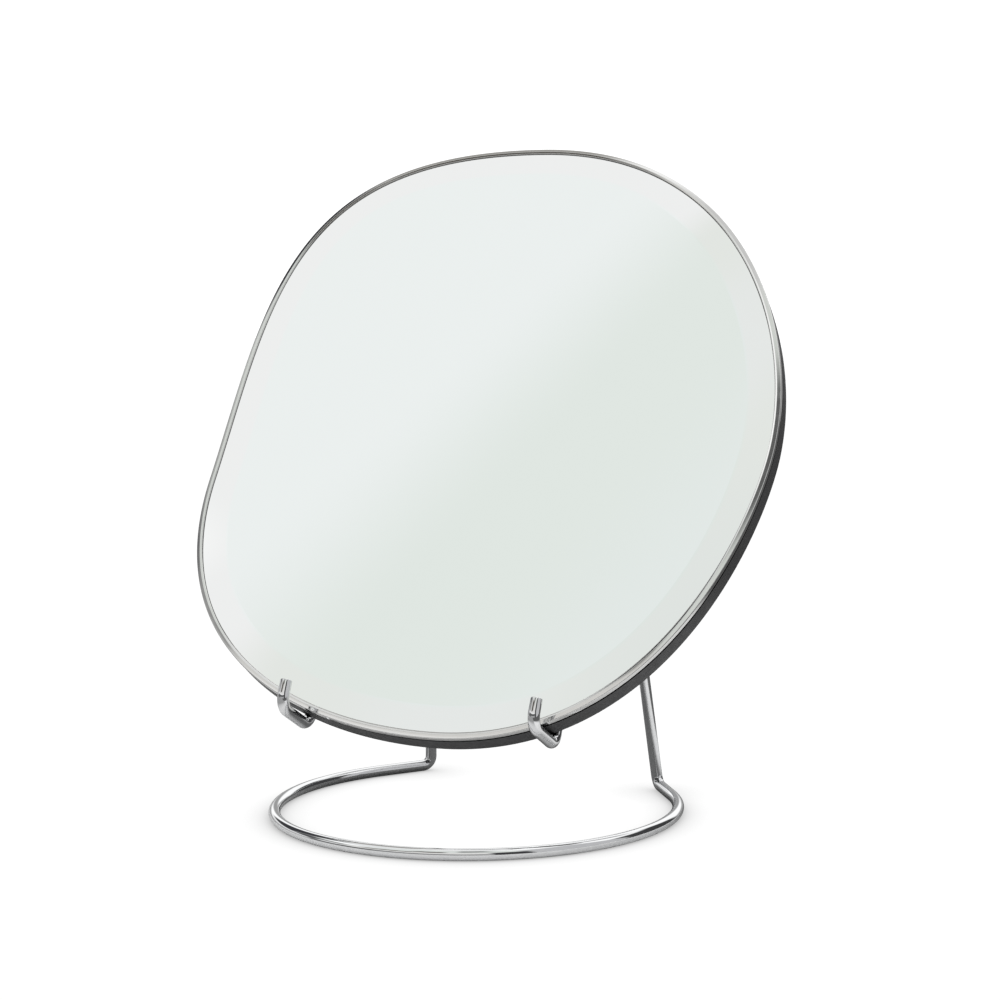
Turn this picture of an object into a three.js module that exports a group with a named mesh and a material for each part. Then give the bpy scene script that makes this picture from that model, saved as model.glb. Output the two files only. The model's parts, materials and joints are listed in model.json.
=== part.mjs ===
// Countertop mirror: a lens-shaped bevelled mirror that leans in a stand bent from one chromed wire.
// Millimetres, +Z up. The mirror faces -Y, and -X is the viewer's left. The origin lies on the
// table under the middle of the whole object, as its left, right, front and back extremes bound it.

import * as THREE from 'three';

// Stand wire
const WIRE_DIAMETER = 5;
const WIRE_SIDES = 12;
const JOIN_GAP = 0.3;                 // between two stretches of the wire, and between touching pieces

// The parts are placed from the middle of the base loop, and then moved all together
const LOOP_TO_MIDDLE_X = -2.511;      // from the loop's middle to the middle of the whole object
const LOOP_TO_MIDDLE_Y = 11.646;

// Base loop, an ellipse of wire lying on the table and open at the back
const LOOP_HALF_WIDTH = 85.6;         // to the middle of the wire
const LOOP_HALF_DEPTH = 92;
const LOOP_END_X = 55.6;              // where the loop turns up into the rear legs
const LOOP_END_Y = 74.6;
const LOOP_STEPS = 60;
const LEG_BEND_RADIUS = 4;            // to the middle of the wire

// Mirror unit: its place is that of the middle of its outline, in the plane of its front rim
const MIRROR_X = -2.2;                // leaves both hooks bearing on the pan alike
const MIRROR_Y = 21;
const MIRROR_Z = 165.1;
const MIRROR_LEAN = THREE.MathUtils.degToRad(36.2);   // from upright

// Outline of the mirror: the four extremes, and how far each curve runs straight on from them
const OUTLINE_HALF_WIDTH = 128.3;
const OUTLINE_HALF_HEIGHT = 149.2;
const RIGHT_EXTREME = { y: -4.8, up: 61.3, down: 33.4 };
const TOP_EXTREME = { x: -10.5, right: 95, left: 134.2 };
const LEFT_EXTREME = { y: -32.5, up: 87.5, down: 79.9 };
const BOTTOM_EXTREME = { x: 8.8, left: 71.2, right: 101.6 };
const OUTLINE_STEPS = 22;             // for each of the four curves

// Layers of the mirror unit: insets run inward from the outline, depths run back from the front rim
const TRIM_WIDTH = 2.9;
const TRIM_DEPTH = 3.4;
const TRIM_ROUNDING = 1.3;
const GLASS_FRONT = 0.7;
const GLASS_THICKNESS = 4;
const BEVEL_WIDTH = 12;
const BEVEL_DROP = 1.6;
const SHELL_INSET = 0.3;
const SHELL_WALL = 1.8;
const SHELL_SIDE_DEPTH = 10.9;
const SHELL_BACK_DEPTH = 11.7;
const SHOULDER_WIDTH = 1;
const PAD_INSET = 8;

// Hooks and uprights, in the mirror unit's own frame
const HOOK_X = 55.8;                  // from the middle of the stand
const FOOT_DROP = 145.7;              // where lip and shelf meet, below the middle of the mirror
const HEEL_DROP = 141.5;              // where shelf and upright meet
const LIP_FRONT = 11.3;               // foot of the lip in front of the front rim
const LIP_FLARE = 2.1;
const LIP_HEIGHT = 11.3;
const FOOT_BEND_RADIUS = 6;
const HEEL_BEND_RADIUS = 5.5;
const UPRIGHT_BACK = SHELL_BACK_DEPTH + JOIN_GAP + WIRE_DIAMETER / 2;
const APEX_X = 42.9;
const APEX_RISE = 21;                 // above the middle of the mirror
const APEX_BEND_RADIUS = 8;

const chrome = new THREE.MeshStandardMaterial({ color: 0xd4d6d8, roughness: 0.08, metalness: 1 });
const trimChrome = new THREE.MeshStandardMaterial({ color: 0xdadbdb, roughness: 0.1, metalness: 1 });
const silveredGlass = new THREE.MeshStandardMaterial({ color: 0xe2e9e6, roughness: 0.03, metalness: 1 });
const blackPlastic = new THREE.MeshStandardMaterial({ color: 0x2b2b2c, roughness: 0.5, metalness: 0 });
const greyFoam = new THREE.MeshStandardMaterial({ color: 0x6d6f70, roughness: 0.95, metalness: 0 });

// A wire bent round the given corners. Its stations are at the ends of the straight stretches and
// along the bends, so that a straight stretch costs one step.
class WirePath extends THREE.Curve {
  constructor() {
    super();
    this.points = [];
    this.tangents = [];
  }

  add(point, tangent) {
    this.points.push(point.clone());
    this.tangents.push(tangent.clone().normalize());
    return this;
  }

  // A bend of the given radius at a corner, between the corners before and after it.
  addBend(before, corner, after, radius, steps = 5) {
    const arriving = corner.clone().sub(before).normalize();
    const leaving = after.clone().sub(corner).normalize();
    const turn = arriving.angleTo(leaving);
    const axis = arriving.clone().cross(leaving).normalize();
    const start = corner.clone().addScaledVector(arriving, -radius * Math.tan(turn / 2));
    const centre = start.clone().addScaledVector(axis.clone().cross(arriving), radius);
    for (let i = 0; i <= steps; i++) {
      const spin = (turn * i) / steps;
      const point = start.clone().sub(centre).applyAxisAngle(axis, spin).add(centre);
      this.add(point, arriving.clone().applyAxisAngle(axis, spin));
    }
    return this;
  }

  get steps() {
    return this.points.length - 1;
  }

  getPointAt(u, target = new THREE.Vector3()) {
    return target.copy(this.points[Math.round(u * this.steps)]);
  }

  getTangentAt(u, target = new THREE.Vector3()) {
    return target.copy(this.tangents[Math.round(u * this.steps)]);
  }
}

// Round wire along a path. Its section is a polygon whose flats touch the true round, with one of
// them facing straight down in the middle of the path.
function wireGeometry(path) {
  const frames = path.computeFrenetFrames(path.steps, false);
  const middle = Math.round(path.steps / 2);
  const down = new THREE.Vector3(0, 0, -1);
  const flat = Math.atan2(down.dot(frames.binormals[middle]), down.dot(frames.normals[middle]));
  const cornerRadius = WIRE_DIAMETER / 2 / Math.cos(Math.PI / WIRE_SIDES);
  const corners = [];
  for (let i = 0; i < WIRE_SIDES; i++) {
    const angle = flat + ((2 * i + 1) * Math.PI) / WIRE_SIDES;
    corners.push(new THREE.Vector2(cornerRadius * Math.cos(angle), cornerRadius * Math.sin(angle)));
  }
  return new THREE.ExtrudeGeometry(new THREE.Shape(corners), { steps: path.steps, extrudePath: path });
}

function namedMesh(name, geometry, material) {
  const mesh = new THREE.Mesh(geometry, material);
  mesh.name = name;
  return mesh;
}

// The mirror's outline, anticlockwise from its right extreme as seen from the front.
function mirrorOutline() {
  const { x: topX, right: topRight, left: topLeft } = TOP_EXTREME;
  const { x: bottomX, left: bottomLeft, right: bottomRight } = BOTTOM_EXTREME;
  const { y: leftY, up: leftUp, down: leftDown } = LEFT_EXTREME;
  const { y: rightY, up: rightUp, down: rightDown } = RIGHT_EXTREME;
  const w = OUTLINE_HALF_WIDTH;
  const h = OUTLINE_HALF_HEIGHT;
  const shape = new THREE.Shape();
  shape.moveTo(w, rightY);
  shape.bezierCurveTo(w, rightY + rightUp, topX + topRight, h, topX, h);
  shape.bezierCurveTo(topX - topLeft, h, -w, leftY + leftUp, -w, leftY);
  shape.bezierCurveTo(-w, leftY - leftDown, bottomX - bottomLeft, -h, bottomX, -h);
  shape.bezierCurveTo(bottomX + bottomRight, -h, w, rightY - rightDown, w, rightY);
  return shape.getPoints(OUTLINE_STEPS).slice(0, -1);
}

const outline = mirrorOutline();

// The outline moved inward by an inset, all the way round.
function insetOutline(inset) {
  const count = outline.length;
  return outline.map((point, i) => {
    const along = outline[(i + 1) % count].clone().sub(outline[(i + count - 1) % count]).normalize();
    return new THREE.Vector2(point.x - along.y * inset, point.y + along.x * inset);
  });
}

// A closed skin through a stack of outlines, each given as [inset, depth behind the front rim].
// It is capped at both ends, or, for a ring, the last outline joins the first.
function outlineGeometry(levels, ring = false) {
  const count = outline.length;
  const positions = [];
  const faces = [];
  for (const [inset, depth] of levels) {
    for (const point of insetOutline(inset)) positions.push(point.x, point.y, -depth);
  }
  const bands = ring ? levels.length : levels.length - 1;
  for (let band = 0; band < bands; band++) {
    const low = band * count;
    const high = ((band + 1) % levels.length) * count;
    for (let i = 0; i < count; i++) {
      const next = (i + 1) % count;
      faces.push(low + i, low + next, high + next, low + i, high + next, high + i);
    }
  }
  if (!ring) {
    const last = (levels.length - 1) * count;
    for (const [a, b, c] of THREE.ShapeUtils.triangulateShape(insetOutline(levels[0][0]), [])) {
      faces.push(a, c, b);
    }
    for (const [a, b, c] of THREE.ShapeUtils.triangulateShape(insetOutline(levels.at(-1)[0]), [])) {
      faces.push(last + a, last + b, last + c);
    }
  }
  const geometry = new THREE.BufferGeometry();
  geometry.setAttribute('position', new THREE.Float32BufferAttribute(positions, 3));
  geometry.setIndex(faces);
  geometry.computeVertexNormals();
  return geometry;
}

// Polished rim: a flat strip on edge with its front rounded over.
function trimRing() {
  const quarterSteps = 3;
  const levels = [[0, TRIM_DEPTH]];
  for (let i = 0; i <= quarterSteps; i++) {
    const angle = (Math.PI / 2) * (i / quarterSteps);
    levels.push([TRIM_ROUNDING * (1 - Math.cos(angle)), TRIM_ROUNDING * (1 - Math.sin(angle))]);
  }
  for (let i = quarterSteps; i >= 0; i--) {
    const angle = (Math.PI / 2) * (i / quarterSteps);
    levels.push([TRIM_WIDTH - TRIM_ROUNDING * (1 - Math.cos(angle)), TRIM_ROUNDING * (1 - Math.sin(angle))]);
  }
  levels.push([TRIM_WIDTH, TRIM_DEPTH]);
  return namedMesh('trim_ring', outlineGeometry(levels, true), trimChrome);
}

// Bevelled glass, silvered on its back.
function mirrorGlass() {
  const edge = TRIM_WIDTH + JOIN_GAP;
  return namedMesh('mirror_glass', outlineGeometry([
    [edge, GLASS_FRONT + GLASS_THICKNESS],
    [edge, GLASS_FRONT + BEVEL_DROP],
    [edge + BEVEL_WIDTH, GLASS_FRONT],
  ]), silveredGlass);
}

// Black moulded pan behind the glass, with a straight wall and a flat back panel.
function backShell() {
  const front = TRIM_DEPTH + JOIN_GAP;
  const innerInset = SHELL_INSET + SHELL_WALL;
  return namedMesh('back_shell', outlineGeometry([
    [SHELL_INSET + SHOULDER_WIDTH, SHELL_BACK_DEPTH],
    [SHELL_INSET, SHELL_SIDE_DEPTH],
    [SHELL_INSET, front],
    [innerInset, front],
    [innerInset, SHELL_SIDE_DEPTH - SHELL_WALL],
    [innerInset + SHOULDER_WIDTH, SHELL_BACK_DEPTH - SHELL_WALL],
  ]), blackPlastic);
}

// Foam sheet that beds the glass on the shell's floor.
function backingPad() {
  return namedMesh('backing_pad', outlineGeometry([
    [PAD_INSET, SHELL_BACK_DEPTH - SHELL_WALL - JOIN_GAP],
    [PAD_INSET, GLASS_FRONT + GLASS_THICKNESS + JOIN_GAP],
  ]), greyFoam);
}

const mirrorUnit = new THREE.Group();
mirrorUnit.position.set(MIRROR_X, MIRROR_Y, MIRROR_Z);
mirrorUnit.rotation.x = Math.PI / 2 - MIRROR_LEAN;
mirrorUnit.add(mirrorGlass(), trimRing(), backShell(), backingPad());
mirrorUnit.updateMatrix();

// A point of the stand given by its own x, its height up the mirror's plane, and how far it lies
// behind the front rim.
function besideMirror(x, rise, back) {
  return new THREE.Vector3(x - MIRROR_X, rise, -back).applyMatrix4(mirrorUnit.matrix);
}

// The corners of one side of the stand, side being 1 on the right and -1 on the left.
function standCorners(side) {
  return {
    lipTip: besideMirror(side * HOOK_X, LIP_HEIGHT - FOOT_DROP, -LIP_FRONT - LIP_FLARE),
    lipFoot: besideMirror(side * HOOK_X, -FOOT_DROP, -LIP_FRONT),
    heel: besideMirror(side * HOOK_X, -HEEL_DROP, UPRIGHT_BACK),
    apex: besideMirror(side * APEX_X, APEX_RISE, UPRIGHT_BACK),
    loopEnd: new THREE.Vector3(side * LOOP_END_X, LOOP_END_Y, WIRE_DIAMETER / 2),
  };
}

// A straight stretch between two corners, cut back at each end past the bend that is there.
function straightPath(from, to, cutFrom, cutTo) {
  const along = to.clone().sub(from).normalize();
  return new WirePath()
    .add(from.clone().addScaledVector(along, cutFrom), along)
    .add(to.clone().addScaledVector(along, -cutTo), along);
}

// How far a bend reaches along each of the two straights that meet at its corner.
function bendReach(before, corner, after, radius) {
  const arriving = corner.clone().sub(before);
  const leaving = after.clone().sub(corner);
  return radius * Math.tan(arriving.angleTo(leaving) / 2);
}

// Where the straight run from the loop's end meets the ellipse without a corner, as the angle of
// the ellipse's point on the right-hand side.
function loopTouchAngle() {
  const u = LOOP_END_X / LOOP_HALF_WIDTH;
  const v = LOOP_END_Y / LOOP_HALF_DEPTH;
  return Math.atan2(v, u) - Math.acos(1 / Math.hypot(u, v));
}

function loopPoint(angle) {
  const x = LOOP_HALF_WIDTH * Math.cos(angle);
  return new THREE.Vector3(x, LOOP_HALF_DEPTH * Math.sin(angle), WIRE_DIAMETER / 2);
}

// The loop on the table with a bend up into each rear leg, from the right end round to the left.
function baseLoop() {
  const right = standCorners(1);
  const left = standCorners(-1);
  const touch = loopTouchAngle();
  const sweep = Math.PI + 2 * touch;
  const path = new WirePath();
  path.addBend(right.apex, right.loopEnd, loopPoint(touch), LEG_BEND_RADIUS);
  for (let i = 0; i <= LOOP_STEPS; i++) {
    const angle = touch - (sweep * i) / LOOP_STEPS;
    const x = LOOP_HALF_WIDTH * Math.sin(angle);
    path.add(loopPoint(angle), new THREE.Vector3(x, -LOOP_HALF_DEPTH * Math.cos(angle), 0));
  }
  path.addBend(loopPoint(Math.PI - touch), left.loopEnd, left.apex, LEG_BEND_RADIUS);
  return namedMesh('base_loop', wireGeometry(path), chrome);
}

function rearLeg(side, name) {
  const { heel, apex, loopEnd } = standCorners(side);
  const touch = loopPoint(side > 0 ? loopTouchAngle() : Math.PI - loopTouchAngle());
  const lowCut = bendReach(touch, loopEnd, apex, LEG_BEND_RADIUS) + JOIN_GAP;
  const highCut = bendReach(loopEnd, apex, heel, APEX_BEND_RADIUS) + JOIN_GAP;
  return namedMesh(name, wireGeometry(straightPath(loopEnd, apex, lowCut, highCut)), chrome);
}

// The stretch that lies against the mirror's back, with the bend at its top.
function upright(side, name) {
  const { lipFoot, heel, apex, loopEnd } = standCorners(side);
  const along = apex.clone().sub(heel).normalize();
  const cut = bendReach(lipFoot, heel, apex, HEEL_BEND_RADIUS) + JOIN_GAP;
  const path = new WirePath().add(heel.clone().addScaledVector(along, cut), along);
  path.addBend(heel, apex, loopEnd, APEX_BEND_RADIUS, 8);
  return namedMesh(name, wireGeometry(path), chrome);
}

// The hook that carries the mirror's lower edge: heel bend, shelf, foot bend and cut-off lip.
function hook(side, name) {
  const { lipTip, lipFoot, heel, apex } = standCorners(side);
  const path = new WirePath();
  path.addBend(apex, heel, lipFoot, HEEL_BEND_RADIUS);
  path.addBend(heel, lipFoot, lipTip, FOOT_BEND_RADIUS);
  path.add(lipTip, lipTip.clone().sub(lipFoot));
  return namedMesh(name, wireGeometry(path), chrome);
}

const countertopMirror = new THREE.Group();
countertopMirror.add(
  baseLoop(),
  rearLeg(-1, 'left_rear_leg'),
  rearLeg(1, 'right_rear_leg'),
  upright(-1, 'left_upright'),
  upright(1, 'right_upright'),
  hook(-1, 'left_hook'),
  hook(1, 'right_hook'),
  mirrorUnit,
);

countertopMirror.position.set(-LOOP_TO_MIDDLE_X, -LOOP_TO_MIDDLE_Y, 0);

export default countertopMirror;
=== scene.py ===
import json
import math

import bmesh
import bpy
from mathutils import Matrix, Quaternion, Vector
from mathutils.geometry import interpolate_bezier


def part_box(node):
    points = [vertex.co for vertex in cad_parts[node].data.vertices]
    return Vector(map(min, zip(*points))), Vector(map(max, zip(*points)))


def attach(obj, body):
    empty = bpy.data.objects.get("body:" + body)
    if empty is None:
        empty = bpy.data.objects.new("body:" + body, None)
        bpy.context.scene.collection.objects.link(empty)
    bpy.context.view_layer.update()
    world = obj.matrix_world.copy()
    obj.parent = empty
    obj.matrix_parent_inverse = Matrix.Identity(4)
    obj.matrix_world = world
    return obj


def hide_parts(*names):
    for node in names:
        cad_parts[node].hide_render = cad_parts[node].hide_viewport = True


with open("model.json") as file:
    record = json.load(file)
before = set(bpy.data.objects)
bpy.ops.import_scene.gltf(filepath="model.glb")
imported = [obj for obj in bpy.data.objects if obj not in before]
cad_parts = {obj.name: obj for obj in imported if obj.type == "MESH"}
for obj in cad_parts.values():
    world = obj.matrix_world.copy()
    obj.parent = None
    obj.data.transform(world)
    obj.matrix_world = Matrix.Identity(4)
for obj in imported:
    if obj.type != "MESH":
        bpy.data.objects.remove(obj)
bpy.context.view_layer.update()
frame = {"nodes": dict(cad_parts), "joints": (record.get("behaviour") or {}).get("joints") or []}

# Everything is in metres. The mirror faces -Y and leans back; -X is the viewer's left.

# ---------------------------------------------------------------- camera
CAMERA_TARGET = Vector((0.0073, 0.0021, 0.1337))
CAMERA_AZIMUTH = math.radians(22.99)      # from straight in front, towards the viewer's right
CAMERA_ELEVATION = math.radians(5.91)
CAMERA_DISTANCE = 1.186
CAMERA_LENS = 99.48                       # millimetres on a 36 mm sensor

# ---------------------------------------------------------------- stand wire
WIRE_RADIUS = 0.0025
WIRE_SIDES = 48
WIRE_STATION = 0.004                      # longest step between cross-sections
LEG_BEND_RADIUS = 0.004
FOOT_BEND_RADIUS = 0.006
HEEL_BEND_RADIUS = 0.0055
APEX_BEND_RADIUS = 0.008
LOOP_HALF_DEPTH = 0.092
LOOP_END_X = 0.0556                       # where the loop turns up into the rear legs
LOOP_END_Y = 0.0746
LOOP_STEPS = 220
HOOK_X = 0.0558
FOOT_DROP = 0.1457                        # where lip and shelf meet, below the middle of the mirror
HEEL_DROP = 0.1415                        # where shelf and upright meet
LIP_FRONT = 0.0113
LIP_FLARE = 0.0021
LIP_HEIGHT = 0.0113
APEX_X = 0.0429
APEX_RISE = 0.021
CUT_EDGE = 0.0005                         # rounding of the wire's two cut ends
CUT_EDGE_STEPS = 6
MIRROR_CLEARANCE = 0.0003                 # between the uprights and the pan's back

# ---------------------------------------------------------------- mirror unit
# Insets run inward from the outline, depths run back from the front rim.
# The outline's extremes, and how far each curve runs straight on from them.
OUTLINE_HALF_WIDTH = 0.1283
OUTLINE_HALF_HEIGHT = 0.1492
RIGHT_EXTREME = {"y": -0.0048, "up": 0.0613, "down": 0.0334}
TOP_EXTREME = {"x": -0.0105, "right": 0.095, "left": 0.1342}
LEFT_EXTREME = {"y": -0.0325, "up": 0.0875, "down": 0.0799}
BOTTOM_EXTREME = {"x": 0.0088, "left": 0.0712, "right": 0.1016}
OUTLINE_STEPS = 72                        # for each of the four curves

TRIM_WIDTH = 0.0026
TRIM_DEPTH = 0.0026
TRIM_RIDGE = 0.0017                       # inset of the rim's foremost ridge
TRIM_OUTER_DROP = 0.00052                 # how far the rim's front falls back from the ridge, outward
TRIM_INNER_DROP = 0.00028                 # and inward
GLASS_FRONT = 0.0001
GLASS_THICKNESS = 0.0046
GLASS_EDGE = 0.0027
GLASS_ARRIS = 0.0003                      # rounding of the glass's ground edges
BEVEL_WIDTH = 0.012
BEVEL_DROP = 0.0007
BEVEL_ROUNDING = 0.0015                   # where the bevel meets the flat glass
SHELL_FRONT = 0.0029
SHELL_INSET = 0.0003
SHELL_WALL = 0.0018
SHELL_SIDE_DEPTH = 0.0109
SHELL_BACK_DEPTH = 0.0117
SHELL_SHOULDER = 0.001                    # width of the slope between side wall and back
SHELL_ROUNDING = 0.0006
SHELL_EDGE = 0.0002                       # rounding of its small edges
REBATE_DEPTH = 0.001                      # step in the pan's front edge, a dark line behind the rim from real shade and the pan's painted shade
REBATE_WIDTH = 0.0012
REBATE_ROUNDING = 0.0001
GROOVE_INSET = 0.02                       # moulded groove on the pan's back
GROOVE_WIDTH = 0.0012
GROOVE_DEPTH = 0.0005
GROOVE_SLOPE = 0.0006
PAD_INSET = 0.008
PAD_FRONT = 0.005
PAD_BACK = 0.0096
PAD_ROUNDING = 0.0008
FRONT_MARGIN = 0.004                      # from a skin's last rounding to its flat cap, at the front
BACK_MARGIN = 0.006                       # and at the back

# ---------------------------------------------------------------- studio seen in reflections
# Each patch: azimuth range and elevation range in degrees, softness of its edges in degrees, brightness.
# Azimuth 0 is straight in front of the mirror and turns towards the viewer's right.
STUDIO_OPEN = (1.15, 1.15, 1.15, 1)
STUDIO_PATCHES = [
    (-190, 190, -90, 7, 4, (0.38, 0.38, 0.38, 1)),           # below the screens
    (-190, 190, 80, 100, 4, (0.74, 0.74, 0.74, 1)),          # ceiling
    (-146, -112, 46, 70, 4, (0.42, 0.41, 0.39, 1)),          # grey flag high on the left
    (-112, -98, 50, 74, 4, (0.60, 0.59, 0.57, 1)),
    (-104, 70, 24, 82, 2.6, (0.80, 0.83, 0.80, 1)),          # big front screen
    (-41, -31, 40, 70, 3, (0.82, 0.845, 0.835, 1)),
    (-29, 5, 44, 62, 4, (0.775, 0.81, 0.79, 1)),
    (-104, -48.8, 38, 84, 2.6, (0.895, 0.905, 0.905, 1)),    # left part of the screen, lit closer
    (-86, -58, 40, 47, 3, (1.3, 1.3, 1.3, 1)),               # bright strip in it
    (-98, -54, 22, 35, 4, (0.36, 0.36, 0.36, 1)),            # grey at its foot
    (16, 44, 54, 73, 4, (0.14, 0.14, 0.14, 1)),              # gap high on the right
    (-56, 38, 22, 40, 4, (0.80, 0.79, 0.77, 1)),             # its lower edge
    (-44, -32, 26, 38, 3, (0.30, 0.29, 0.28, 1)),
    (-36, -10, 31.5, 41, 2.5, (0.085, 0.075, 0.065, 1)),     # dark stand below the screen
    (-14, 9, 39, 55, 3, (0.13, 0.12, 0.11, 1)),
    (-56, 38, 7, 18, 4, (0.05, 0.05, 0.052, 1)),             # dark room under the screen
    (-80, -30, 3, 16, 4, (0.12, 0.12, 0.12, 1)),
    (-134, -98, 12, 46, 4, (0.045, 0.045, 0.05, 1)),         # black flag on the left
    (-116, -95, 33, 49, 3, (0.05, 0.05, 0.055, 1)),
    (-101, -90, 44, 53, 2.5, (0.05, 0.05, 0.055, 1)),
    (-98, -76, 12, 31, 4, (0.10, 0.10, 0.105, 1)),
    (-165, -148, 4, 20, 4, (0.36, 0.36, 0.36, 1)),           # grey behind on the left
    (150, 172, 42, 66, 5, (0.40, 0.40, 0.40, 1)),            # grey behind on the right
    (62, 118, -5, 60, 4, (0.55, 0.55, 0.56, 1)),             # grey screen on the right
    (38, 62, -4, 40, 3, (0.05, 0.05, 0.052, 1)),             # gap beside it
    (118, 166, -4, 35, 4, (0.05, 0.05, 0.052, 1)),           # dark behind on the right
]

# ---------------------------------------------------------------- paper floor
CONTACT_REACH = 0.03                      # how far the painted contact shadow on the paper spreads
CONTACT_DEPTH = 0.6
CONTACT_FALLOFF = 0.65
PAPER_BRIGHTNESS = 1.04
PAINTED_SHADE_MIDDLE = (0.0, 0.05, 0.0)           # of the painted shade under the mirror, as reflections see it

# ---------------------------------------------------------------- frame of the mirror, from the CAD
ACROSS = Vector((1, 0, 0))
UPWARD = Vector(frame["joints"][0]["axis"]).normalized()     # the mirror lifts along its own plane
OUTWARD = ACROSS.cross(UPWARD)


def extent(node, direction):
    along = [direction.dot(v.co) for v in frame["nodes"][node].data.vertices]
    return min(along), max(along)


MIRROR_MIDDLE = (
    ACROSS * (extent("trim_ring", ACROSS)[1] - OUTLINE_HALF_WIDTH)
    + UPWARD * (extent("trim_ring", UPWARD)[1] - OUTLINE_HALF_HEIGHT)
    + OUTWARD * extent("trim_ring", OUTWARD)[1]
)


def on_mirror(x, y, depth):
    return MIRROR_MIDDLE + ACROSS * x + UPWARD * y - OUTWARD * depth


# ---------------------------------------------------------------- mesh helpers
def new_object(name, points, faces, uvs=None):
    """A smooth-shaded object from points and faces, with optional uvs for each face's corners."""
    mesh = bpy.data.meshes.new(name)
    mesh.from_pydata(points, [], faces)
    if uvs:
        layer = mesh.uv_layers.new(name="UVMap")
        for polygon in mesh.polygons:
            for loop, uv in zip(polygon.loop_indices, uvs[polygon.index]):
                layer.data[loop].uv = uv
    mesh.shade_smooth()
    obj = bpy.data.objects.new(name, mesh)
    bpy.context.scene.collection.objects.link(obj)
    return obj


def rounded_profile(corners, closed, steps=6):
    """Rounds each (inset, depth, radius) corner of a profile into an arc, and gives (inset, depth) pairs."""
    profile = []
    count = len(corners)
    for i, (x, y, radius) in enumerate(corners):
        here = Vector((x, y))
        if radius == 0 or (not closed and i in (0, count - 1)):
            profile.append((x, y))
            continue
        before = Vector(corners[i - 1][:2]) - here
        after = Vector(corners[(i + 1) % count][:2]) - here
        turn = math.pi - before.angle(after)
        reach = radius * math.tan(turn / 2)
        start = here + before.normalized() * reach
        end = here + after.normalized() * reach
        towards = (before.normalized() + after.normalized()).normalized()
        centre = here + towards * (radius / math.cos(turn / 2))
        first, last = start - centre, end - centre
        for step in range(steps + 1):
            share = step / steps
            blend = first * math.sin((1 - share) * turn) + last * math.sin(share * turn)
            profile.append(tuple(centre + blend / math.sin(turn)))
    return profile


def mirror_outline():
    """The mirror's outline, anticlockwise from its right extreme as seen from the front."""
    w, h = OUTLINE_HALF_WIDTH, OUTLINE_HALF_HEIGHT
    right, top, left, bottom = RIGHT_EXTREME, TOP_EXTREME, LEFT_EXTREME, BOTTOM_EXTREME
    curves = [
        [(w, right["y"]), (w, right["y"] + right["up"]), (top["x"] + top["right"], h), (top["x"], h)],
        [(top["x"], h), (top["x"] - top["left"], h), (-w, left["y"] + left["up"]), (-w, left["y"])],
        [(-w, left["y"]), (-w, left["y"] - left["down"]),
         (bottom["x"] - bottom["left"], -h), (bottom["x"], -h)],
        [(bottom["x"], -h), (bottom["x"] + bottom["right"], -h),
         (w, right["y"] - right["down"]), (w, right["y"])],
    ]
    points = []
    for curve in curves:
        points += interpolate_bezier(*[Vector(p) for p in curve], OUTLINE_STEPS + 1)[:-1]
    return [Vector((p[0], p[1])) for p in points]


OUTLINE = mirror_outline()


def inset_outline(inset):
    count = len(OUTLINE)
    moved = []
    for i, point in enumerate(OUTLINE):
        along = (OUTLINE[(i + 1) % count] - OUTLINE[i - 1]).normalized()
        moved.append(point + Vector((-along.y, along.x)) * inset)
    return moved


def outline_skin(name, levels, ring=False):
    """A closed skin through a stack of outlines, each (inset, depth). Its ends are capped, or meet in a ring.
    Its uvs are the inset, as far as the caps, and the distance along the outline."""
    count = len(OUTLINE)
    points, faces, uvs = [], [], []
    for inset, depth in levels:
        points += [on_mirror(p.x, p.y, depth) for p in inset_outline(inset)]
    along = [0.0]
    for i in range(count):
        along.append(along[-1] + (OUTLINE[(i + 1) % count] - OUTLINE[i]).length)
    for band in range(len(levels) if ring else len(levels) - 1):
        above = (band + 1) % len(levels)
        low, high = band * count, above * count
        for i in range(count):
            j = (i + 1) % count
            faces.append((low + i, low + j, high + j, high + i))
            u0, u1, v0, v1 = levels[band][0], levels[above][0], along[i], along[i + 1]
            uvs.append(((u0, v0), (u0, v1), (u1, v1), (u1, v0)))
    if not ring:
        last = (len(levels) - 1) * count
        faces.append(tuple(reversed(range(count))))
        uvs.append(((levels[0][0], 0),) * count)
        faces.append(tuple(range(last, last + count)))
        uvs.append(((levels[-1][0], 0),) * count)
    obj = new_object(name, points, faces, uvs)
    facing = bmesh.new()
    facing.from_mesh(obj.data)
    bmesh.ops.recalc_face_normals(facing, faces=facing.faces)
    facing.to_mesh(obj.data)
    facing.free()
    return obj


# ---------------------------------------------------------------- stand wire
loop_low, loop_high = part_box("base_loop")
LOOP_MIDDLE = Vector((
    (loop_low.x + loop_high.x) / 2,
    loop_low.y + WIRE_RADIUS + LOOP_HALF_DEPTH,
    WIRE_RADIUS,
))
LOOP_HALF_WIDTH = (loop_high.x - loop_low.x) / 2 - WIRE_RADIUS
UPRIGHT_BACK = SHELL_BACK_DEPTH + MIRROR_CLEARANCE + WIRE_RADIUS


def loop_point(angle):
    return LOOP_MIDDLE + Vector((LOOP_HALF_WIDTH * math.cos(angle), LOOP_HALF_DEPTH * math.sin(angle), 0))


def loop_touch_angle():
    """Where the straight run from the loop's right end meets the ellipse without a corner."""
    u, v = LOOP_END_X / LOOP_HALF_WIDTH, LOOP_END_Y / LOOP_HALF_DEPTH
    return math.atan2(v, u) - math.acos(1 / math.hypot(u, v))


def bend(before, corner, after, radius, steps):
    """Points of a bend at a corner, between the corners before and after it."""
    arriving, leaving = (corner - before).normalized(), (after - corner).normalized()
    turn = arriving.angle(leaving)
    axis = arriving.cross(leaving).normalized()
    start = corner - arriving * radius * math.tan(turn / 2)
    centre = start + axis.cross(arriving) * radius
    return [centre + Quaternion(axis, turn * i / steps) @ (start - centre) for i in range(steps + 1)]


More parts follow.
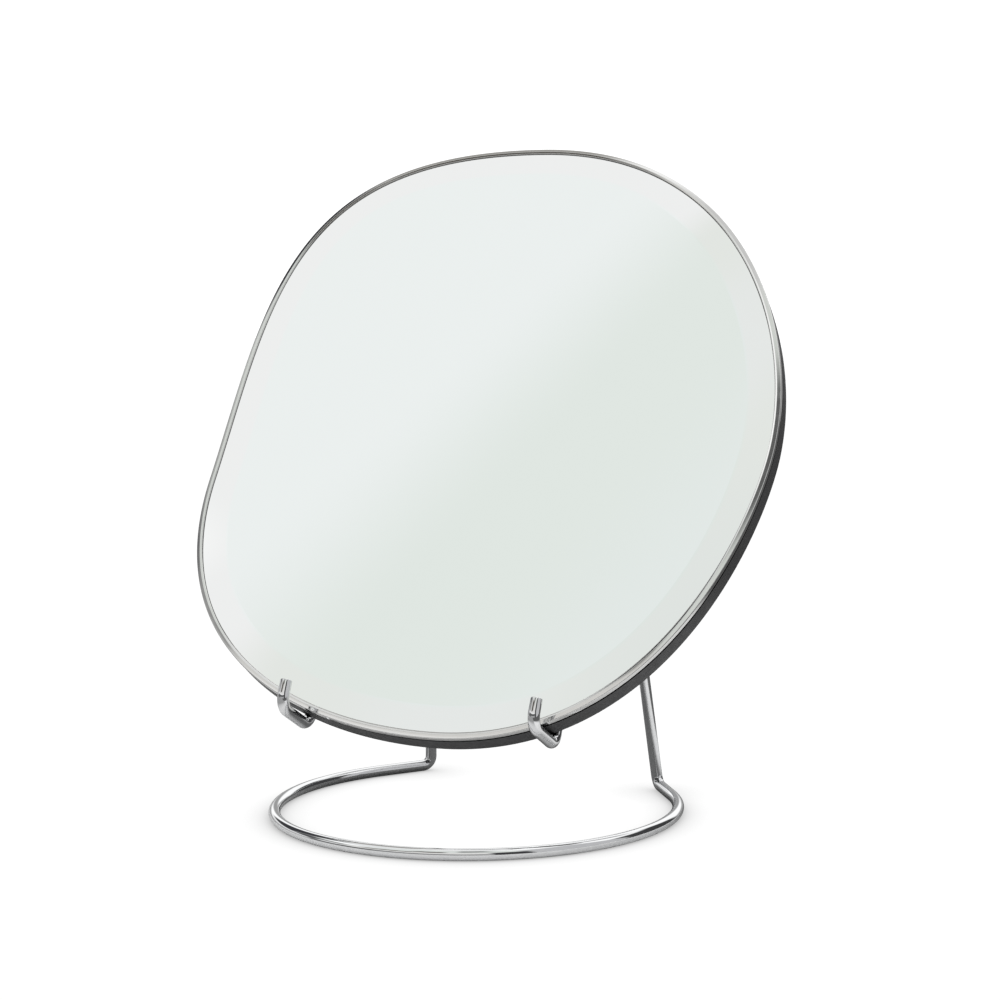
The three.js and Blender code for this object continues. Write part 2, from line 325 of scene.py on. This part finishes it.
def side_points(side):
    """One side of the stand, from the hook's tip down, under, up the back and down the leg to the loop."""
    def beside_mirror(x, rise, depth):
        point = on_mirror(0, rise, depth)
        point.x = LOOP_MIDDLE.x + x
        return point

    lip_tip = beside_mirror(side * HOOK_X, LIP_HEIGHT - FOOT_DROP, -LIP_FRONT - LIP_FLARE)
    lip_foot = beside_mirror(side * HOOK_X, -FOOT_DROP, -LIP_FRONT)
    heel = beside_mirror(side * HOOK_X, -HEEL_DROP, UPRIGHT_BACK)
    apex = beside_mirror(side * APEX_X, APEX_RISE, UPRIGHT_BACK)
    loop_end = LOOP_MIDDLE + Vector((side * LOOP_END_X, LOOP_END_Y, 0))
    touch_angle = loop_touch_angle()
    touch = loop_point(touch_angle if side > 0 else math.pi - touch_angle)
    return [
        lip_tip,
        *bend(lip_tip, lip_foot, heel, FOOT_BEND_RADIUS, 24),
        *bend(lip_foot, heel, apex, HEEL_BEND_RADIUS, 24),
        *bend(heel, apex, loop_end, APEX_BEND_RADIUS, 36),
        *bend(apex, loop_end, touch, LEG_BEND_RADIUS, 24),
    ]


def wire_route():
    """The middle line of the whole bent wire, from the left hook's tip to the right hook's tip."""
    touch = loop_touch_angle()
    start, sweep = math.pi - touch, math.pi + 2 * touch
    loop = [loop_point(start + sweep * i / LOOP_STEPS) for i in range(LOOP_STEPS + 1)]
    return side_points(-1) + loop + side_points(1)[::-1]


def add_stations(route, longest):
    """Splits the long straight stretches of a route into equal steps."""
    stations = [route[0]]
    for point in route[1:]:
        gap = point - stations[-1]
        steps = max(1, math.ceil(gap.length / longest))
        start = stations[-1]
        stations += [start + gap * (i + 1) / steps for i in range(steps)]
    return stations


def cut_end(end, tangent, inward):
    """Sections (centre, tangent, radius) of a rounded cut end, from its face to the full wire."""
    sections = []
    for step in range(CUT_EDGE_STEPS + 1):
        angle = math.pi / 2 * step / CUT_EDGE_STEPS
        sections.append((
            end + inward * CUT_EDGE * (1 - math.cos(angle)),
            tangent,
            WIRE_RADIUS - CUT_EDGE * (1 - math.sin(angle)),
        ))
    return sections


def make_wire():
    """Round wire with its two cut ends slightly rounded over."""
    route = add_stations(wire_route(), WIRE_STATION)
    last = len(route) - 1
    tangents = [(route[min(i + 1, last)] - route[max(i - 1, 0)]).normalized() for i in range(len(route))]
    sections = cut_end(route[0], tangents[0], tangents[0])
    sections += [(p, t, WIRE_RADIUS) for p, t in zip(route[1:-1], tangents[1:-1])]
    sections += cut_end(route[-1], tangents[-1], -tangents[-1])[::-1]
    points, uvs_along = [], []
    normal = ACROSS.copy()
    previous = sections[0][1]
    travelled = 0
    for index, (centre, tangent, radius) in enumerate(sections):
        if index:
            normal = previous.rotation_difference(tangent) @ normal
            travelled += (centre - sections[index - 1][0]).length
        normal = (normal - tangent * normal.dot(tangent)).normalized()
        binormal = tangent.cross(normal)
        previous = tangent
        for side in range(WIRE_SIDES):
            angle = 2 * math.pi * side / WIRE_SIDES
            points.append(centre + (normal * math.cos(angle) + binormal * math.sin(angle)) * radius)
        uvs_along.append(travelled)
    faces, uvs = [], []
    around = 2 * math.pi * WIRE_RADIUS
    for band in range(len(sections) - 1):
        for i in range(WIRE_SIDES):
            j = (i + 1) % WIRE_SIDES
            low, high = band * WIRE_SIDES, (band + 1) * WIRE_SIDES
            faces.append((low + i, low + j, high + j, high + i))
            u0, u1 = around * i / WIRE_SIDES, around * (i + 1) / WIRE_SIDES
            v0, v1 = uvs_along[band], uvs_along[band + 1]
            uvs.append(((u0, v0), (u1, v0), (u1, v1), (u0, v1)))
    last_ring = (len(sections) - 1) * WIRE_SIDES
    for ring in (tuple(reversed(range(WIRE_SIDES))), tuple(range(last_ring, last_ring + WIRE_SIDES))):
        faces.append(ring)
        uvs.append(((0, 0),) * WIRE_SIDES)
    return new_object("wire_stand", points, faces, uvs)


# ---------------------------------------------------------------- mirror pieces
def make_glass():
    back = GLASS_FRONT + GLASS_THICKNESS
    return outline_skin("bevelled_glass", rounded_profile([
        (GLASS_EDGE + BACK_MARGIN, back, 0),
        (GLASS_EDGE, back, GLASS_ARRIS),
        (GLASS_EDGE, GLASS_FRONT + BEVEL_DROP, GLASS_ARRIS),
        (GLASS_EDGE + BEVEL_WIDTH, GLASS_FRONT, BEVEL_ROUNDING),
        (GLASS_EDGE + BEVEL_WIDTH + FRONT_MARGIN, GLASS_FRONT, 0),
    ], closed=False))


def make_bead():
    """Rim strip on edge, its front ground to two slopes that meet in a softened ridge."""
    return outline_skin("rim_bead", rounded_profile([
        (0.0, TRIM_DEPTH, 0.0002),
        (0.0, TRIM_OUTER_DROP, 0.00035),
        (TRIM_RIDGE, 0.0, 0.0003),
        (TRIM_WIDTH, TRIM_INNER_DROP, 0.0003),
        (TRIM_WIDTH, TRIM_DEPTH, 0.0002),
    ], closed=True, steps=10), ring=True)


def make_pan():
    """Black moulded pan: rebated front edge, straight wall and a back panel with a moulded groove."""
    wall = SHELL_INSET + SHELL_WALL
    floor = SHELL_BACK_DEPTH - SHELL_WALL
    groove_bottom = SHELL_BACK_DEPTH - GROOVE_DEPTH
    rebate_bottom = SHELL_FRONT + REBATE_DEPTH
    return outline_skin("back_pan", rounded_profile([
        (GROOVE_INSET + BACK_MARGIN, SHELL_BACK_DEPTH, 0),
        (GROOVE_INSET + GROOVE_WIDTH + GROOVE_SLOPE, SHELL_BACK_DEPTH, SHELL_EDGE),
        (GROOVE_INSET + GROOVE_WIDTH, groove_bottom, SHELL_EDGE),
        (GROOVE_INSET, groove_bottom, SHELL_EDGE),
        (GROOVE_INSET - GROOVE_SLOPE, SHELL_BACK_DEPTH, SHELL_EDGE),
        (SHELL_INSET + SHELL_SHOULDER, SHELL_BACK_DEPTH, SHELL_ROUNDING),
        (SHELL_INSET, SHELL_SIDE_DEPTH, SHELL_ROUNDING),
        (SHELL_INSET, rebate_bottom, REBATE_ROUNDING),
        (SHELL_INSET + REBATE_WIDTH, rebate_bottom, REBATE_ROUNDING),
        (SHELL_INSET + REBATE_WIDTH, SHELL_FRONT, REBATE_ROUNDING),
        (wall, SHELL_FRONT, SHELL_EDGE),
        (wall, floor, 0.001),
        (wall + FRONT_MARGIN, floor, 0),
    ], closed=False))


def make_pad():
    return outline_skin("foam_pad", rounded_profile([
        (PAD_INSET + FRONT_MARGIN, PAD_BACK, 0),
        (PAD_INSET, PAD_BACK, PAD_ROUNDING),
        (PAD_INSET, PAD_FRONT, PAD_ROUNDING),
        (PAD_INSET + FRONT_MARGIN, PAD_FRONT, 0),
    ], closed=False))


# ---------------------------------------------------------------- material helpers
class Nodes:
    """Adds nodes to a node tree with short calls. Sockets are passed on as inputs of later nodes."""

    def __init__(self, tree):
        self.tree = tree
        tree.nodes.clear()

    def add(self, kind, settings=None, **inputs):
        node = self.tree.nodes.new(kind)
        for key, value in (settings or {}).items():
            setattr(node, key, value)
        for key, value in inputs.items():
            self.feed(node, key.replace("_", " "), value)
        return node

    def feed(self, node, name, value):
        socket = node.inputs[int(name)] if name.isdigit() else node.inputs[name]
        if isinstance(value, bpy.types.NodeSocket):
            self.tree.links.new(value, socket)
        else:
            socket.default_value = value

    def math(self, operation, a, b=0.0, clamp=False):
        node = self.add("ShaderNodeMath", {"operation": operation, "use_clamp": clamp})
        self.feed(node, "0", a)
        self.feed(node, "1", b)
        return node.outputs[0]

    def ramp(self, value, start, end, low=0.0, high=1.0):
        """value from start to end, eased, mapped to low to high."""
        node = self.add("ShaderNodeMapRange", {"interpolation_type": "SMOOTHSTEP"}, Value=value)
        for name, number in (("From Min", start), ("From Max", end), ("To Min", low), ("To Max", high)):
            self.feed(node, name, number)
        return node.outputs[0]

    def noise(self, vector, scale, detail=2.0, roughness=0.5):
        node = self.add("ShaderNodeTexNoise", Vector=vector, Scale=scale, Detail=detail, Roughness=roughness)
        return node.outputs[0]

    def mix(self, share, a, b):
        node = self.add("ShaderNodeMix", {"data_type": "RGBA"})
        for index, value in ((0, share), (6, a), (7, b)):
            self.feed(node, str(index), value)
        return node.outputs[2]

    def distance(self, point, other):
        node = self.add("ShaderNodeVectorMath", {"operation": "DISTANCE"})
        self.feed(node, "0", point)
        self.feed(node, "1", other)
        return node.outputs["Value"]

    def stretched(self, vector, scale):
        return self.add("ShaderNodeMapping", Vector=vector, Scale=scale).outputs[0]

    def bump(self, height, strength, distance):
        return self.add("ShaderNodeBump", Height=height, Strength=strength, Distance=distance).outputs[0]


def new_material(name):
    material = bpy.data.materials.new(name)
    material.use_nodes = True
    nodes = Nodes(material.node_tree)
    shader = nodes.add("ShaderNodeBsdfPrincipled")
    output = nodes.add("ShaderNodeOutputMaterial", Surface=shader.outputs[0])
    return material, nodes, shader, output


def chrome_material():
    """Polished chrome plate over drawn wire: faint lengthwise drawing lines, slow waviness and fine haze."""
    material, nodes, shader, _ = new_material("polished_chrome_wire")
    uv = nodes.add("ShaderNodeTexCoord").outputs["UV"]
    place = nodes.add("ShaderNodeTexCoord").outputs["Object"]
    lines = nodes.noise(nodes.stretched(uv, (9000.0, 60.0, 1.0)), 1.0, 3.0)
    haze = nodes.noise(place, 260.0, 4.0)
    ripple = nodes.noise(place, 90.0, 1.0)
    nodes.feed(shader, "Base Color", nodes.mix(haze, (0.80, 0.81, 0.82, 1), (0.88, 0.885, 0.89, 1)))
    nodes.feed(shader, "Metallic", 1.0)
    nodes.feed(shader, "Roughness", nodes.ramp(haze, 0.35, 0.75, 0.035, 0.085))
    fine = nodes.bump(lines, 0.12, 0.00002)
    wave = nodes.add("ShaderNodeBump", Height=ripple, Strength=0.25, Distance=0.0001, Normal=fine).outputs[0]
    nodes.feed(shader, "Normal", wave)
    return material


def bead_material():
    """Polished chrome rim bead, a little softer than the wire."""
    material, nodes, shader, _ = new_material("polished_rim_chrome")
    place = nodes.add("ShaderNodeTexCoord").outputs["Object"]
    haze = nodes.noise(place, 180.0, 4.0)
    grain = nodes.noise(place, 2600.0, 2.0)
    nodes.feed(shader, "Base Color", nodes.mix(haze, (0.70, 0.70, 0.69, 1), (0.80, 0.80, 0.79, 1)))
    nodes.feed(shader, "Metallic", 1.0)
    nodes.feed(shader, "Roughness", nodes.ramp(haze, 0.35, 0.75, 0.06, 0.12))
    nodes.feed(shader, "Normal", nodes.bump(grain, 0.06, 0.00003))
    return material


def glass_material():
    """Silvered glass: faint green tint, nearly perfect gloss with a trace of handling haze and float-glass
    ripple. The thinner glass of the bevel is less green."""
    material, nodes, shader, _ = new_material("silvered_glass")
    place = nodes.add("ShaderNodeTexCoord").outputs["Object"]
    uv = nodes.add("ShaderNodeTexCoord").outputs["UV"]
    inset = nodes.add("ShaderNodeSeparateXYZ", Vector=uv).outputs[0]
    smears = nodes.noise(place, 14.0, 5.0, 0.6)
    ripple = nodes.noise(place, 9.0, 1.0)
    silver = nodes.mix(smears, (0.925, 0.957, 0.945, 1), (0.935, 0.962, 0.953, 1))
    bevel = nodes.ramp(inset, GLASS_EDGE + BEVEL_WIDTH + 0.0002, GLASS_EDGE + BEVEL_WIDTH - 0.0016)
    silver = nodes.mix(bevel, silver, (0.95, 0.95, 0.945, 1))
    nodes.feed(shader, "Base Color", silver)
    nodes.feed(shader, "Metallic", 1.0)
    nodes.feed(shader, "Roughness", nodes.ramp(smears, 0.5, 0.8, 0.0, 0.03))
    nodes.feed(shader, "Normal", nodes.bump(ripple, 0.02, 0.0005))
    return material


def pan_material():
    """Satin black moulded plastic with a fine spark-eroded grain, and painted shade in its crevices."""
    material, nodes, shader, _ = new_material("black_moulded_plastic")
    place = nodes.add("ShaderNodeTexCoord").outputs["Object"]
    cloud = nodes.noise(place, 40.0, 4.0)
    grain = nodes.noise(place, 2400.0, 3.0, 0.6)
    plastic = nodes.mix(cloud, (0.024, 0.024, 0.025, 1), (0.044, 0.044, 0.045, 1))
    # painted shade: where ambient occlusion finds a crevice, the colour goes to near black and the specular
    # fades out
    crevice = nodes.add("ShaderNodeAmbientOcclusion", Distance=0.003).outputs["AO"]
    painted_crevice_shade = nodes.ramp(crevice, 0.75, 0.4)
    nodes.feed(shader, "Base Color", nodes.mix(painted_crevice_shade, plastic, (0.001, 0.001, 0.001, 1)))
    nodes.feed(shader, "Specular IOR Level", nodes.ramp(crevice, 0.4, 0.75, 0.0, 0.5))
    nodes.feed(shader, "Roughness", nodes.ramp(nodes.noise(place, 300.0, 3.0), 0.3, 0.7, 0.42, 0.58))
    nodes.feed(shader, "Normal", nodes.bump(grain, 0.35, 0.00012))
    return material


def foam_material():
    """Closed-cell foam sheet with small open skin cells."""
    material, nodes, shader, _ = new_material("grey_foam")
    place = nodes.add("ShaderNodeTexCoord").outputs["Object"]
    cells = nodes.add("ShaderNodeTexVoronoi", Vector=place, Scale=1400.0).outputs[0]
    nodes.feed(shader, "Base Color", nodes.mix(cells, (0.10, 0.10, 0.11, 1), (0.24, 0.24, 0.25, 1)))
    nodes.feed(shader, "Roughness", 0.95)
    nodes.feed(shader, "Normal", nodes.bump(cells, 0.5, 0.0002))
    return material


def floor_material():
    """Seamless white paper glowing evenly to the camera, with a painted contact shadow where things stand on
    it.
    Reflections see painted tones: painted shade under the mirror, lighter to the right and darker further
    out."""
    material, nodes, shader, output = new_material("white_paper")
    place = nodes.add("ShaderNodeTexCoord").outputs["Object"]
    fibre = nodes.noise(place, 900.0, 3.0)
    nodes.feed(shader, "Base Color", nodes.mix(fibre, (0.80, 0.80, 0.80, 1), (0.82, 0.82, 0.82, 1)))
    nodes.feed(shader, "Roughness", 0.9)
    nodes.feed(shader, "Specular IOR Level", 0.0)
    # painted contact shadow: ambient occlusion near things standing on the paper dims its glow
    contact = nodes.add("ShaderNodeAmbientOcclusion", {"samples": 24}, Distance=CONTACT_REACH).outputs["AO"]
    closeness = nodes.math("POWER", nodes.math("SUBTRACT", 1.0, contact), CONTACT_FALLOFF)
    shade = nodes.math("MULTIPLY", closeness, CONTACT_DEPTH)
    paper = nodes.add("ShaderNodeEmission", Color=nodes.mix(fibre, (1.0, 1.0, 1.0, 1), (1.02, 1.02, 1.02, 1)),
                      Strength=nodes.math("SUBTRACT", PAPER_BRIGHTNESS, shade))
    # the paper's tone as reflections see it: painted shade under the mirror, lighter to the right, darker
    # further out
    from_shade = nodes.distance(place, PAINTED_SHADE_MIDDLE)
    from_middle = nodes.distance(place, (0.0, 0.0, 0.0))
    tone = nodes.mix(nodes.ramp(from_shade, 0.08, 0.13), (0.20, 0.20, 0.20, 1), (0.64, 0.64, 0.64, 1))
    tone = nodes.mix(nodes.ramp(from_middle, 0.13, 0.24), tone, (0.30, 0.30, 0.30, 1))
    right = nodes.ramp(nodes.add("ShaderNodeSeparateXYZ", Vector=place).outputs[0], 0.09, 0.13)
    right_tone = nodes.mix(nodes.ramp(from_middle, 0.22, 0.30), (0.76, 0.76, 0.76, 1), (0.10, 0.10, 0.10, 1))
    tone = nodes.mix(right, tone, right_tone)
    dull = nodes.add("ShaderNodeBsdfDiffuse", Color=tone)
    path = nodes.add("ShaderNodeLightPath")
    unseen = nodes.add("ShaderNodeMixShader")
    nodes.feed(unseen, "0", path.outputs["Is Glossy Ray"])
    nodes.feed(unseen, "1", shader.outputs[0])
    nodes.feed(unseen, "2", dull.outputs[0])
    choice = nodes.add("ShaderNodeMixShader")
    nodes.feed(choice, "0", path.outputs["Is Camera Ray"])
    nodes.feed(choice, "1", unseen.outputs[0])
    nodes.feed(choice, "2", paper.outputs[0])
    nodes.feed(output, "Surface", choice.outputs[0])
    return material


# ---------------------------------------------------------------- stage
def make_floor():
    size = 4.0
    corners = [(-size, -size, 0), (size, -size, 0), (size, size, 0), (-size, size, 0)]
    floor = new_object("floor", [Vector(c) for c in corners], [(0, 1, 2, 3)])
    floor.data.materials.append(floor_material())


def make_world():
    """A white studio to the camera and for lighting. Reflections see screens, flags and gaps round it."""
    world = bpy.data.worlds.new("studio")
    bpy.context.scene.world = world
    world.use_nodes = True
    nodes = Nodes(world.node_tree)
    direction = nodes.add("ShaderNodeTexCoord").outputs["Generated"]
    split = nodes.add("ShaderNodeSeparateXYZ", Vector=direction)
    x, y, z = split.outputs[0], split.outputs[1], split.outputs[2]
    azimuth = nodes.math("DEGREES", nodes.math("ARCTAN2", x, nodes.math("MULTIPLY", y, -1.0)))
    elevation = nodes.math("DEGREES", nodes.math("ARCSINE", z))
    seen = STUDIO_OPEN
    for left, right, low, high, soft, brightness in STUDIO_PATCHES:
        across = nodes.math("MULTIPLY", nodes.ramp(azimuth, left - soft, left + soft),
                            nodes.ramp(azimuth, right + soft, right - soft))
        upright = nodes.math("MULTIPLY", nodes.ramp(elevation, low - soft, low + soft),
                             nodes.ramp(elevation, high + soft, high - soft))
        seen = nodes.mix(nodes.math("MULTIPLY", across, upright), seen, brightness)
    studio = nodes.add("ShaderNodeBackground", Color=seen, Strength=1.0)
    white = nodes.add("ShaderNodeBackground", Color=(1, 1, 1, 1), Strength=1.2)
    choice = nodes.add("ShaderNodeMixShader")
    nodes.feed(choice, "0", nodes.add("ShaderNodeLightPath").outputs["Is Glossy Ray"])
    nodes.feed(choice, "1", white.outputs[0])
    nodes.feed(choice, "2", studio.outputs[0])
    nodes.add("ShaderNodeOutputWorld", Surface=choice.outputs[0])


def make_camera():
    back = Vector((
        math.sin(CAMERA_AZIMUTH) * math.cos(CAMERA_ELEVATION),
        -math.cos(CAMERA_AZIMUTH) * math.cos(CAMERA_ELEVATION),
        math.sin(CAMERA_ELEVATION),
    ))
    camera = bpy.data.objects.new("camera", bpy.data.cameras.new("camera"))
    bpy.context.scene.collection.objects.link(camera)
    camera.location = CAMERA_TARGET + back * CAMERA_DISTANCE
    camera.rotation_mode = "QUATERNION"
    camera.rotation_quaternion = (-back).to_track_quat("-Z", "Y")
    camera.data.lens = CAMERA_LENS
    camera.data.clip_start = 0.01
    bpy.context.scene.camera = camera


# ---------------------------------------------------------------- assembly
def finish_piece(obj, material, slot, body, *nodes, sharp_from):
    """Hands a piece over to the frame, with edges sharper than sharp_from degrees left unsmoothed."""
    obj.data.set_sharp_from_angle(angle=math.radians(sharp_from))
    obj.data.materials.append(material)
    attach(obj, body)
    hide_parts(*nodes)


make_camera()
make_world()
make_floor()
bpy.context.scene.view_settings.view_transform = "Standard"

finish_piece(
    make_wire(), chrome_material(), "stand_chrome", "stand",
    "base_loop", "left_rear_leg", "right_rear_leg",
    "left_upright", "right_upright", "left_hook", "right_hook",
    sharp_from=35,
)
finish_piece(make_glass(), glass_material(), "silvered_glass", "mirror", "mirror_glass", sharp_from=4)
finish_piece(make_bead(), bead_material(), "rim_chrome", "mirror", "trim_ring", sharp_from=40)
finish_piece(make_pan(), pan_material(), "black_plastic", "mirror", "back_shell", sharp_from=60)
finish_piece(make_pad(), foam_material(), "grey_foam", "mirror", "backing_pad", sharp_from=60)
